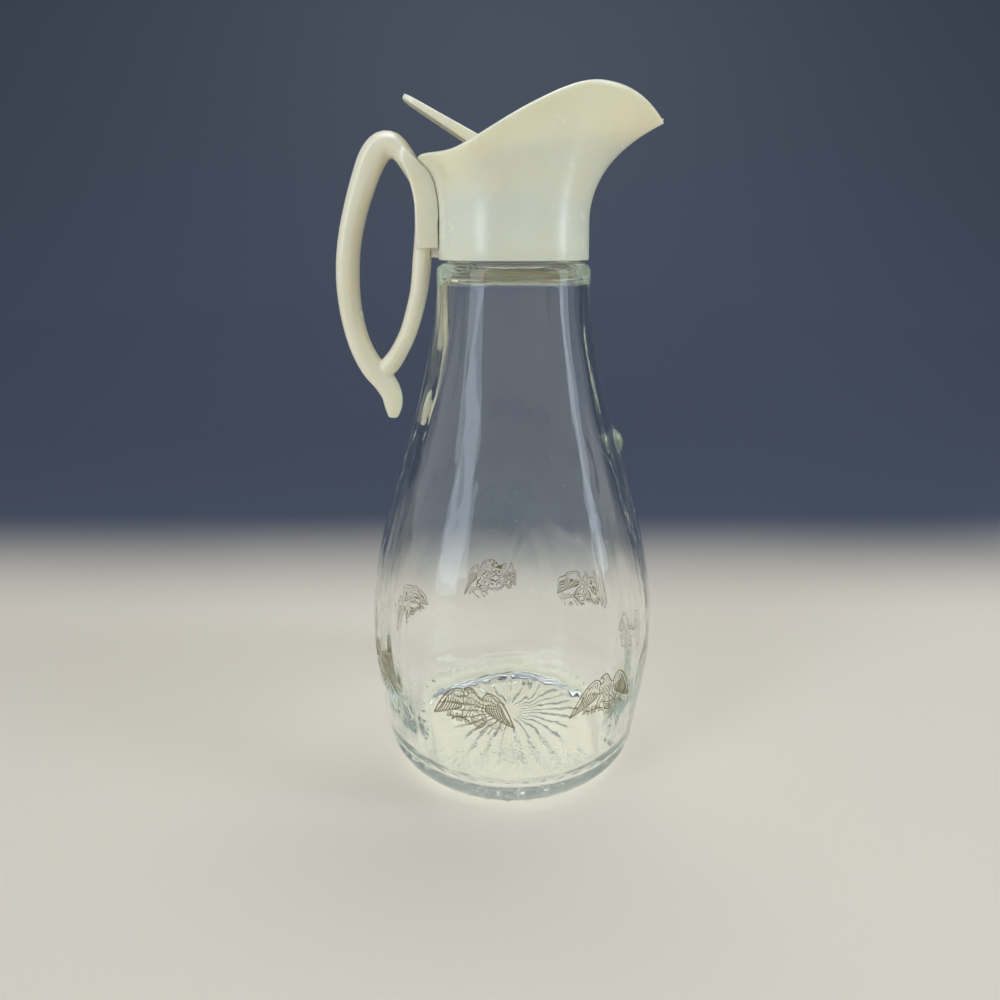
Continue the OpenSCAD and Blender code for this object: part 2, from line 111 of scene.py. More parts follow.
class Finish:
    """A material, built from nodes on the object's own coordinates."""

    def __init__(self, name):
        self.material = bpy.data.materials.new(name)
        self.material.use_nodes = True
        self.tree = self.material.node_tree
        self.tree.nodes.clear()
        self.place = self.node("ShaderNodeTexCoord", output="Object")

    def node(self, kind, settings=None, values=None, output=0):
        made = self.tree.nodes.new(kind)
        for key, value in (settings or {}).items():
            setattr(made, key, value)
        for key, value in (values or {}).items():
            if isinstance(value, Value):
                self.tree.links.new(value.socket, made.inputs[key])
            else:
                made.inputs[key].default_value = value
        return Value(self, made.outputs[output]) if made.outputs else None

    def along(self, axis):
        """The place along the object's own X, Y or Z, in metres."""
        return self.node("ShaderNodeSeparateXYZ", None, {0: self.place}, output=axis)

    def noise(self, scale, detail=3, roughness=0.5, place=None):
        return self.node("ShaderNodeTexNoise", None, {
            "Vector": place or self.place, "Scale": scale, "Detail": detail,
            "Roughness": roughness})

    def stretched(self, x, y, z):
        """The place for a pattern that is drawn out along the axis with the small number."""
        return self.node("ShaderNodeMapping", None, {
            "Vector": self.place, "Scale": (x, y, z)})

    def step(self, value, low, high):
        """0 below low, 1 above high and smooth between them."""
        return self.node("ShaderNodeMapRange", {"interpolation_type": "SMOOTHSTEP"}, {
            "Value": value, "From Min": low, "From Max": high})

    def mix(self, factor, a, b):
        """Colour a where the factor is 0 and b where it is 1."""
        made = self.tree.nodes.new("ShaderNodeMix")
        made.data_type = "RGBA"
        for key, value in ((0, factor), (6, a), (7, b)):
            if isinstance(value, Value):
                self.tree.links.new(value.socket, made.inputs[key])
            else:
                made.inputs[key].default_value = value if key == 0 else (*value, 1)
        return Value(self, made.outputs[2])

    def bump(self, height, distance, strength, under=None):
        """Relief as deep as the distance in metres, over the relief under it."""
        values = {"Height": height, "Distance": distance, "Strength": strength}
        if under:
            values["Normal"] = under
        return self.node("ShaderNodeBump", None, values)

    def surface(self, values):
        self.body = self.node("ShaderNodeBsdfPrincipled", None, values)
        self.out = self.tree.nodes.new("ShaderNodeOutputMaterial")
        self.tree.links.new(self.body.socket, self.out.inputs["Surface"])
        return self.material

    def let_lamps_through(self, colour):
        """Lamps shine through glass, so that what stands behind it isn't in full shadow."""
        clear = self.node("ShaderNodeBsdfTransparent", None, {"Color": (*colour, 1)})
        path = self.node("ShaderNodeLightPath", output="Is Shadow Ray")
        both = self.node("ShaderNodeMixShader", None, {0: path, 1: self.body, 2: clear})
        self.tree.links.new(both.socket, self.out.inputs["Surface"])

    def volume(self, colour, density):
        made = self.node("ShaderNodeVolumeAbsorption", None, {
            "Color": (*colour, 1), "Density": density})
        self.tree.links.new(made.socket, self.out.inputs["Volume"])


DRAWN_ABOVE = (0.06, 0.1)  # the height over which the fine drawn lines begin, in metres
PEBBLED_R, PEBBLED_TOP, PEBBLED_FRONT = 0.0375, 0.013, 0.012  # the front of the inner floor


def clear_glass():
    """Bottle glass: wavy, with cords, drawn lines in the neck and a pebbled floor."""
    f = Finish("clear_glass")
    waves = f.noise(24, 2, 0.4, f.stretched(1, 1, 0.35))
    cords = f.noise(85, 2, 0.5, f.stretched(1, 1, 0.1))
    orange_peel = f.noise(160, 2, 0.5)
    normal = f.bump(waves, 0.003, 0.4)
    normal = f.bump(cords, 0.0012, 0.4, normal)
    normal = f.bump(orange_peel, 0.00012, 0.35, normal)
    x, y, z = f.along("X"), f.along("Y"), f.along("Z")
    off_line = abs(f.noise(38, 1, 0.3, f.stretched(1, 1, 0.03)) - 0.5)
    line = (1 - f.step(off_line, 0, 0.025)) * f.step(z, *DRAWN_ABOVE)
    normal = f.bump(line, 0.00012, 0.6, normal)
    pebbled = (f.step(PEBBLED_TOP - z, 0, 0.004) * f.step(-PEBBLED_FRONT - y, 0, 0.012)
               * f.step(PEBBLED_R - (x * x + y * y) ** 0.5, 0, 0.002))
    normal = f.bump(f.noise(700, 2, 0.6) * pebbled, 0.001, 0.8, normal)
    dust = f.step(f.noise(900, 2, 0.7), 0.74, 0.77) * f.step(f.noise(40, 1), 0.42, 0.6)
    f.surface({
        "Base Color": (0.99, 1.0, 0.985, 1), "Transmission Weight": 1.0, "IOR": 1.5,
        "Roughness": dust * 0.35, "Normal": normal})
    f.let_lamps_through((0.82, 0.83, 0.815))
    f.volume((0.72, 0.86, 0.73), 4.5)
    return f.material


def ivory_plastic():
    """Moulded plastic that lets a little light in, with flow marks, specks and rubbed gloss."""
    f = Finish("ivory_plastic")
    cloud = f.noise(35, 4, 0.55)
    flow = f.noise(90, 3, 0.5, f.stretched(1, 1, 0.2))
    specks = f.step(f.noise(1300, 2, 0.6), 0.72, 0.8)
    tone = f.mix(f.step(cloud, 0.3, 0.7), (0.79, 0.74, 0.56), (0.83, 0.79, 0.62))
    tone = f.mix(f.step(flow, 0.5, 0.8) * 0.35, tone, (0.75, 0.685, 0.49))
    tone = f.mix(specks * 0.25, tone, (0.50, 0.44, 0.33))
    rub = f.noise(240, 5, 0.65)
    draw_lines = f.noise(170, 2, 0.5, f.stretched(1, 1, 0.04))
    normal = f.bump(flow, 0.0002, 0.25)
    normal = f.bump(draw_lines, 0.00016, 0.3, normal)
    normal = f.bump(rub, 0.00003, 0.35, normal)
    return f.surface({
        "Base Color": tone, "Roughness": 0.17 + rub * 0.16, "Specular IOR Level": 0.5,
        "Subsurface Weight": 0.8, "Subsurface Radius": (1.0, 0.76, 0.46),
        "Subsurface Scale": 0.005, "Coat Weight": 0.2, "Coat Roughness": 0.1,
        "Normal": normal})


def fired_gold():
    """Dark gold enamel, unevenly worn."""
    f = Finish("fired_gold")
    wear = f.noise(900, 4, 0.6)
    tone = f.mix(f.step(wear, 0.35, 0.7), (0.25, 0.17, 0.04), (0.15, 0.10, 0.025))
    return f.surface({
        "Base Color": tone, "Metallic": 0.35, "Roughness": 0.36 + wear * 0.25,
        "Normal": f.bump(wear, 0.00002, 0.4)})


def drawn_steel():
    """Wire with the fine lines of drawing along it."""
    f = Finish("drawn_steel")
    lines = f.noise(900, 3, 0.6, f.stretched(1, 0.03, 1))
    return f.surface({
        "Base Color": f.mix(lines, (0.56, 0.56, 0.58), (0.74, 0.74, 0.76)),
        "Metallic": 1.0, "Roughness": 0.2 + lines * 0.2,
        "Normal": f.bump(lines, 0.00002, 0.4)})


def soft_liner():
    """A soft pale ring with a fine grain."""
    f = Finish("soft_liner")
    grain = f.noise(1100, 4, 0.6)
    return f.surface({
        "Base Color": f.mix(grain, (0.74, 0.72, 0.66), (0.84, 0.83, 0.78)),
        "Roughness": 0.55 + grain * 0.2, "Normal": f.bump(grain, 0.00005, 0.5)})


GLASS = clear_glass()
IVORY = ivory_plastic()
GOLD = fired_gold()
STEEL = drawn_steel()
LINER = soft_liner()


# ---- Modelling helpers ----

def only(obj):
    """Selects this object alone."""
    bpy.ops.object.select_all(action="DESELECT")
    obj.select_set(True)
    bpy.context.view_layer.objects.active = obj


def editing(obj):
    """Edit mode with nothing selected and corners selectable."""
    only(obj)
    bpy.ops.object.mode_set(mode="EDIT")
    bpy.ops.mesh.select_mode(type="VERT")
    bpy.ops.mesh.select_all(action="DESELECT")
    return bmesh.from_edit_mesh(obj.data)


def done(obj):
    bpy.ops.object.mode_set(mode="OBJECT")
    return obj


def settle(obj):
    """Puts the piece's place into its mesh."""
    only(obj)
    bpy.ops.object.transform_apply(location=True, rotation=True, scale=True)
    return obj


def modify(obj, kind, **settings):
    only(obj)
    made = obj.modifiers.new(kind.lower(), kind)
    for key, value in settings.items():
        setattr(made, key, value)
    bpy.ops.object.modifier_apply(modifier=made.name)
    return obj


def combine(obj, other):
    """Joins the other solid to this one, and uses it up."""
    modify(obj, "BOOLEAN", object=other, operation="UNION", solver="EXACT")
    bpy.data.objects.remove(other, do_unlink=True)


def finish_piece(obj, name, body, material, nodes, angle):
    """Names, finishes and mounts a piece that stands for CAD nodes."""
    obj.name = name
    obj.data.name = name
    obj.data.materials.clear()
    obj.data.materials.append(material)
    for face in obj.data.polygons:
        face.material_index = 0
    only(obj)
    bpy.ops.object.shade_smooth_by_angle(angle=math.radians(angle))
    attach(obj, body)
    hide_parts(*nodes)


def pick(items, wanted):
    """Selects only the faces or edges that are wanted."""
    bpy.ops.mesh.select_mode(type="EDGE")
    bpy.ops.mesh.select_all(action="DESELECT")
    for item in items:
        if wanted(item):
            item.select = True
    bmesh.from_edit_mesh(bpy.context.object.data).select_flush_mode()
    bmesh.update_edit_mesh(bpy.context.object.data)


def select_faces(bm, wanted):
    """The faces whose middle is wanted."""
    pick(bm.faces, lambda face: wanted(face.calc_center_median()))


def select_edges(bm, wanted):
    """The edges whose two ends are wanted."""
    pick(bm.edges, lambda edge: all(wanted(v.co) for v in edge.verts))


def soften_all(obj, width, segments):
    """Rounds off every edge of a small block. The width is in mm."""
    editing(obj)
    bpy.ops.mesh.select_all(action="SELECT")
    bpy.ops.mesh.bevel(offset=width * MM, segments=segments, affect="EDGES")
    return done(obj)


def traced(points):
    """A line through (radius, height) points in mm, drawn by extruding one corner."""
    bpy.ops.mesh.primitive_plane_add(size=MM)
    obj = bpy.context.object
    bpy.ops.object.mode_set(mode="EDIT")
    bpy.ops.mesh.select_mode(type="VERT")
    bpy.ops.mesh.select_all(action="SELECT")
    bpy.ops.mesh.merge(type="CENTER")
    bm = bmesh.from_edit_mesh(obj.data)
    bm.verts.ensure_lookup_table()
    bm.verts[0].co = (points[0][0] * MM, 0, points[0][1] * MM)
    bm.verts[0].select = True
    bmesh.update_edit_mesh(obj.data)
    for a, b in zip(points, points[1:]):
        bpy.ops.mesh.extrude_region_move(TRANSFORM_OT_translate={
            "value": ((b[0] - a[0]) * MM, 0, (b[1] - a[1]) * MM)})
    return obj


def turned(points, steps):
    """A solid of revolution from a line that starts and ends on the axis or on itself."""
    obj = traced(points)
    bpy.ops.mesh.select_all(action="SELECT")
    bpy.ops.mesh.spin(steps=steps, angle=TAU, center=(0, 0, 0), axis=(0, 0, 1))
    bpy.ops.mesh.select_all(action="SELECT")
    bpy.ops.mesh.remove_doubles(threshold=0.00001)
    bpy.ops.mesh.normals_make_consistent(inside=False)
    return done(obj)


def cubic(a, b, c, d, t):
    """The point at share t of a cubic curve with two pulling points."""
    s = 1 - t
    return tuple(s ** 3 * p + 3 * s * s * t * q + 3 * s * t * t * r + t ** 3 * w
                 for p, q, r, w in zip(a, b, c, d))


def cubic_points(a, b, c, d, n):
    return [cubic(a, b, c, d, i / n) for i in range(1, n + 1)]


def arc_points(centre, r, start, end, n):
    """Points on an arc from one angle to another, in degrees."""
    turns = [math.radians(start + (end - start) * i / n) for i in range(n + 1)]
    return [(centre[0] + r * math.cos(a), centre[1] + r * math.sin(a)) for a in turns]


def rise(value, low, high):
    """0 below low, 1 above high and straight between them."""
    return max(0.0, min(1.0, (value - low) / (high - low)))


def fall(value, low, high):
    """1 below low, 0 above high and straight between them."""
    return rise(-value, -high, -low)


# ---- Bottle, sizes in mm ----

SKIN = 0.07  # the room that the gold lines need inside the CAD's box
FOOT_R, FOOT_BAND = 35.2, 2.6
HEEL_ROUND, HEEL_TURN = 11.0, 82.0
BELLY = (49.8 - SKIN, 51.0)
SHOULDER_R, SHOULDER_Z, SHOULDER_ROUND = 24.0, 173.0, 2.8
WALL, SHOULDER_GLASS = 2.8, 4.5
FLOOR_Z, FLOOR_ROUND, PUSH_UP = 7.0, 9.0, 2.6
NECK_R, MOUTH_R, LIP_Z, LIP_ROUND = 20.6, 16.9, 190.0, 1.1
BOTTLE_STEPS, UNDER_ROWS, FLOOR_ROWS = 312, 34, 22
# pulls of the long curves that run from the belly to the shoulder
BELLY_PULL, SHOULDER_PULL, SHOULDER_LEAN = 38, 40, 0.8

THREAD_PITCH, THREAD_TURNS, THREAD_LOW = 4.233, 1.5, 178.6
THREAD_DEPTH, THREAD_ROOT, THREAD_STEPS = 0.75, 0.25, 72
THREAD_HALF, SOCKET_THREAD_HALF = 1.05, 0.95
THREAD_FADE = math.radians(30)
THREAD_START = math.radians(180.2)  # off the corners of the round walls that it joins

LUG_Z, LUG_R, LUG_PROUD, LUG_FILLET = 114.8, 3.9, 1.7, 0.9
LUG_CUTS, LUG_PATCH_Y, LUG_PATCH_Z = 5, 7, 8

# what pressing and blowing leave, each with the radii or heights over which it comes and goes
RAYS, RAY_DEPTH, RAY_NARROW = 26, 0.5, 1.2
RAY_START, RAY_END, UNDERSIDE_Z = (4, 8), (23, 27), 3
BUMPS, BUMP_R, BUMP_REACH, BUMP_NARROW = 39, 40.2, 1.7, 0.7
BUMP_BAND, BUMP_Z, BUMP_OUT, BUMP_DOWN = (37, 43), 3.5, 0.3, 0.6
WAVY_START, WAVY_END = (16, 30), (150, 168)
WAVE, WAVE_ROUND, WAVE_UP = 0.45, 1.7, 0.014  # its depth, and how often it comes round and up
STREAK, STREAK_ROUND, STREAK_UP = 0.22, 5.5, 0.011
RIPPLED_R, RIPPLED_START, RIPPLED_END = 37, (19, 27), (9, 16)
RIPPLE, RIPPLE_FINE, SWELL, SWELL_FINE = 0.25, 330, 0.22, 60


def upper_wall(n):
    """The outer face from the belly up to the shoulder."""
    neck = (SHOULDER_R, SHOULDER_Z - SHOULDER_ROUND)
    return cubic_points(BELLY, (BELLY[0], BELLY[1] + BELLY_PULL),
                        (neck[0] + SHOULDER_LEAN, neck[1] - SHOULDER_PULL), neck, n)


def outer_wall():
    """The outer face from the standing ring up to the shoulder."""
    centre = (FOOT_R - SKIN, HEEL_ROUND)
    turn = math.radians(HEEL_TURN)
    end = (centre[0] + HEEL_ROUND * math.sin(turn), centre[1] - HEEL_ROUND * math.cos(turn))
    pull = (end[0] + 14 * math.cos(turn), end[1] + 14 * math.sin(turn))
    return (arc_points(centre, HEEL_ROUND, -90, HEEL_TURN - 90, 34)
            + cubic_points(end, pull, (BELLY[0], BELLY[1] - 16), BELLY, 16)
            + upper_wall(44))


def inner_wall():
    """The inner face from the floor's edge up to the mouth."""
    turn = math.radians(HEEL_TURN)
    heel = (FOOT_R + HEEL_ROUND * math.sin(turn) - WALL - 0.6, FLOOR_Z + FLOOR_ROUND)
    belly = (BELLY[0] - WALL, BELLY[1])
    top = (SHOULDER_R - WALL, SHOULDER_Z - SHOULDER_GLASS - SHOULDER_ROUND)
    corner = top[0] - MOUTH_R
    return (arc_points((heel[0] - FLOOR_ROUND, heel[1]), FLOOR_ROUND, -90, 0, 16)
            + cubic_points(heel, (heel[0] + 1, heel[1] + 12), (belly[0], belly[1] - 14),
                           belly, 16)
            + cubic_points(belly, (belly[0], belly[1] + BELLY_PULL),
                           (top[0] + SHOULDER_LEAN, top[1] - SHOULDER_PULL), top, 40)
            + arc_points((MOUTH_R, top[1]), corner, 8, 78, 8)
            + [(MOUTH_R, top[1] + corner + 0.6)])


OUTER = outer_wall()


def wall_r(z):
    """Radius of the bottle's outer face at a height, in mm."""
    for a, b in zip(OUTER, OUTER[1:]):
        if a[1] <= z <= b[1]:
            return a[0] + (b[0] - a[0]) * (z - a[1]) / (b[1] - a[1])
    return SHOULDER_R


def bottle_line():
    """Half of the bottle's section: from the middle of its base round to the inner floor."""
    hollow = FOOT_R - FOOT_BAND
    under = [(hollow * i / UNDER_ROWS, PUSH_UP * (1 - (i / UNDER_ROWS) ** 5))
             for i in range(UNDER_ROWS + 1)]
    shoulder = (SHOULDER_R - SHOULDER_ROUND, SHOULDER_Z - SHOULDER_ROUND)
    lip = LIP_ROUND
    top = (arc_points(shoulder, SHOULDER_ROUND, 8, 90, 9)
           + arc_points((NECK_R + 0.5, SHOULDER_Z + 0.5), 0.5, 260, 180, 4)
           + arc_points((NECK_R - lip, LIP_Z - lip), lip, 0, 90, 6)
           + arc_points((MOUTH_R + lip, LIP_Z - lip), lip, 90, 180, 6))
    inside = inner_wall()[::-1]
    edge = inside[-1][0]
    floor = [(edge * (1 - i / FLOOR_ROWS), FLOOR_Z) for i in range(1, FLOOR_ROWS + 1)]
    return under + OUTER + top + inside + floor


def uneven_glass(obj):
    """Rays under the base, bumps along the heel, and a wavy wall and floor inside."""
    up = Vector((0, 0, MM))
    for v in obj.data.vertices:
        r = math.hypot(v.co.x, v.co.y) / MM
        z = v.co.z / MM
        if r < 0.001:  # on the axis
            continue
        turn = math.atan2(v.co.y, v.co.x)
        c, s = math.cos(turn), math.sin(turn)
        out = Vector((c, s, 0)) * MM
        if z < UNDERSIDE_Z and r < RAY_END[1]:
            ray = (0.5 + 0.5 * math.cos(RAYS * turn + 0.2 * math.sin(r * 0.4))) ** RAY_NARROW
            v.co += up * RAY_DEPTH * ray * rise(r, *RAY_START) * fall(r, *RAY_END)
        if z < BUMP_Z and BUMP_BAND[0] < r < BUMP_BAND[1]:
            bump = (max(0.0, math.cos(BUMPS * turn)) ** BUMP_NARROW
                    * math.exp(-((r - BUMP_R) / BUMP_REACH) ** 2))
            v.co += (out * BUMP_OUT - up * BUMP_DOWN) * bump
        if WAVY_START[0] < z < WAVY_END[1] and wall_r(z) - r > WALL - 1:
            fade = rise(z, *WAVY_START) * fall(z, *WAVY_END)
            wave = noise.noise(Vector((c * WAVE_ROUND, s * WAVE_ROUND, z * WAVE_UP)))
            streak = noise.noise(Vector((c * STREAK_ROUND, s * STREAK_ROUND,
                                         z * STREAK_UP + 9)))
            v.co += out * (wave * WAVE + streak * STREAK) * fade
        if r < RIPPLED_R and FLOOR_Z - 0.5 < z < RIPPLED_END[1]:
            to_front = 0.1 + 0.9 * rise(-s, 0, 0.7)
            rough = rise(r, *RIPPLED_START) * fall(z, *RIPPLED_END) * to_front
            ripple = noise.noise(Vector((v.co.x, v.co.y, v.co.z)) * RIPPLE_FINE)
            swell = noise.noise(Vector((v.co.x, v.co.y, 0.3)) * SWELL_FINE)
            v.co += up * (ripple * RIPPLE * rough + swell * SWELL)


def helix_ridge(radius, low, proud, half):
    """A thread's ridge on a cylinder, outside or (proud < 0) inside it, fading at both ends."""
    root = radius + (-THREAD_ROOT if proud > 0 else THREAD_ROOT)
    line = [(root, -half), (radius + proud, -half * 0.3), (radius + proud, half * 0.3),
            (root, half)]
    obj = traced([(r, low + z) for r, z in line])
    bpy.ops.mesh.select_all(action="SELECT")
    bpy.ops.mesh.edge_face_add()
    done(obj)
    steps = int(THREAD_TURNS * THREAD_STEPS)
    whole = TAU * THREAD_TURNS
    climb = THREAD_PITCH * THREAD_TURNS
    modify(obj, "SCREW", axis="Z", angle=whole, screw_offset=climb * MM,
           steps=steps, render_steps=steps, use_merge_vertices=False, use_normal_calculate=True)
    c, s = math.cos(THREAD_START), math.sin(THREAD_START)
    for v in obj.data.vertices:
        r = math.hypot(v.co.x, v.co.y)
        along = (v.co.z / MM - low) / climb * whole
        keep = max(0.0, min(1.0, along / THREAD_FADE, (whole - along) / THREAD_FADE))
        middle = root * MM
        scale = (middle + (r - middle) * keep) / r
        v.co.x *= scale
        v.co.y *= scale
        v.co.x, v.co.y = v.co.x * c - v.co.y * s, v.co.x * s + v.co.y * c
    editing(obj)
    bpy.ops.mesh.select_all(action="SELECT")
    bpy.ops.mesh.remove_doubles(threshold=0.00002)
    bpy.ops.mesh.select_all(action="SELECT")
    bpy.ops.mesh.fill_holes(sides=0)
    bpy.ops.mesh.select_all(action="SELECT")
    bpy.ops.mesh.normals_make_consistent(inside=False)
    if bmesh.from_edit_mesh(obj.data).calc_volume(signed=True) < 0:
        bpy.ops.mesh.flip_normals()
    return done(obj)


def draw_out_lug(obj):
    """The round lug under the spout: the wall, divided finer there, swells into a cap."""
    bm = editing(obj)
    select_faces(bm, lambda c: c.x > (wall_r(c.z / MM) - 1.6) * MM
                 and abs(c.y) < LUG_PATCH_Y * MM
                 and abs(c.z - LUG_Z * MM) < LUG_PATCH_Z * MM)
    bpy.ops.mesh.subdivide(number_cuts=LUG_CUTS)
    done(obj)
    ball = (LUG_R ** 2 + LUG_PROUD ** 2) / (2 * LUG_PROUD)
    centre = wall_r(LUG_Z) + LUG_PROUD - ball
    upper = upper_wall(600)
    for v in obj.data.vertices:
        y, z = v.co.y / MM, v.co.z / MM
        if v.co.x < 0 or abs(y) > LUG_PATCH_Y + 1 or abs(z - LUG_Z) > LUG_PATCH_Z + 2:
            continue
        near = min(range(len(upper) - 1), key=lambda i: abs(upper[i][1] - z))
        a, b = upper[max(0, near - 1)], upper[near + 1]
        r = a[0] + (b[0] - a[0]) * (z - a[1]) / (b[1] - a[1])
        wall = math.sqrt(r * r - y * y)
        if v.co.x / MM < wall - 1:  # on the inner face
            continue
        rest = ball ** 2 - y * y - (z - LUG_Z) ** 2
        cap = centre + math.sqrt(rest) if rest > 0 else 0.0
        run_in = max(0.0, LUG_FILLET - abs(cap - wall)) ** 2 / (4 * LUG_FILLET)
        v.co.x = (max(cap, wall) + run_in) * MM


def make_bottle():
    obj = turned(bottle_line(), BOTTLE_STEPS)
    uneven_glass(obj)
    draw_out_lug(obj)
    combine(obj, helix_ridge(NECK_R, THREAD_LOW, THREAD_DEPTH, THREAD_HALF))
    finish_piece(obj, "glass_bottle", "bottle", GLASS, ["bottle"], 40)


make_bottle()


# ---- Gold eagles round the bottle, sizes in mm ----

EAGLES, EAGLE_Z, EAGLE_TURN = 7, 42.0, math.radians(-90 - 14.5)
LINE_HALF, LINE_RISE, LINE_END = 0.17, 0.045, 0.6
HEAD_LONG, HEAD_HALF, VANE = 1.9, 0.75, 0.45  # the arrows' heads and feathered ends


def smooth(points, per):
    """A smooth line through the points, with so many steps between each two."""
    if len(points) < 3:
        a, b = points
        return [(a[0] + (b[0] - a[0]) * i / per, a[1] + (b[1] - a[1]) * i / per)
                for i in range(per + 1)]
    ends = [points[0]] + list(points) + [points[-1]]
    line = []
    for p, q, r, s in zip(ends, ends[1:], ends[2:], ends[3:]):
        for i in range(per):
            t = i / per
            line.append(tuple(0.5 * (2 * b + (c - a) * t + (2 * a - 5 * b + 4 * c - d) * t * t
                                     + (3 * b - a - 3 * c + d) * t ** 3)
                              for a, b, c, d in zip(p, q, r, s)))
    line.append(points[-1])
    return line


def between(a, b, t):
    """The point at share t of the way from a to b."""
    return (a[0] + (b[0] - a[0]) * t, a[1] + (b[1] - a[1]) * t)


def heading(a, b):
    """The direction from a to b, of length 1."""
    dx, dy = b[0] - a[0], b[1] - a[1]
    n = math.hypot(dx, dy)
    return dx / n, dy / n


def bowed(a, b, bow):
    """A line from a to b whose middle stands off by bow times its length."""
    dx, dy = b[0] - a[0], b[1] - a[1]
    return [a, (a[0] + dx / 2 - dy * bow, a[1] + dy / 2 + dx * bow), b]


def feathers(roots, tips, bow):
    """A row of feathers: each one's edge, its tip and the step back to the next."""
    lines = []
    side = 1 if bow > 0 else -1
    for i, (root, tip) in enumerate(zip(roots, tips)):
        after = roots[i + 1]
        if i + 1 < len(tips):
            edge = bowed(after, tips[i + 1], bow)
            step = between(edge[1], edge[2], 0.64)
        else:
            step = between(after, tip, 0.35)
        lines.append((smooth(bowed(root, tip, bow), 4), 1.0))
        lines.append((smooth(bowed(tip, step, -0.12 * side), 2), 0.9))
    return lines


def leaf(root, tip, fat):
    """The two edges of a leaf."""
    return [(smooth(bowed(root, tip, bow), 3), 0.8) for bow in (fat, -fat)]


def marks(row, size):
    """A row of small curved chest feathers."""
    lines = []
    for x, y in row:
        lines.append((smooth([(x - size, y + size * 0.7), (x - size * 0.4, y - size * 0.7),
                              (x, y - size), (x + size * 0.4, y - size * 0.7),
                              (x + size, y + size * 0.7)], 1), 0.75))
    return lines


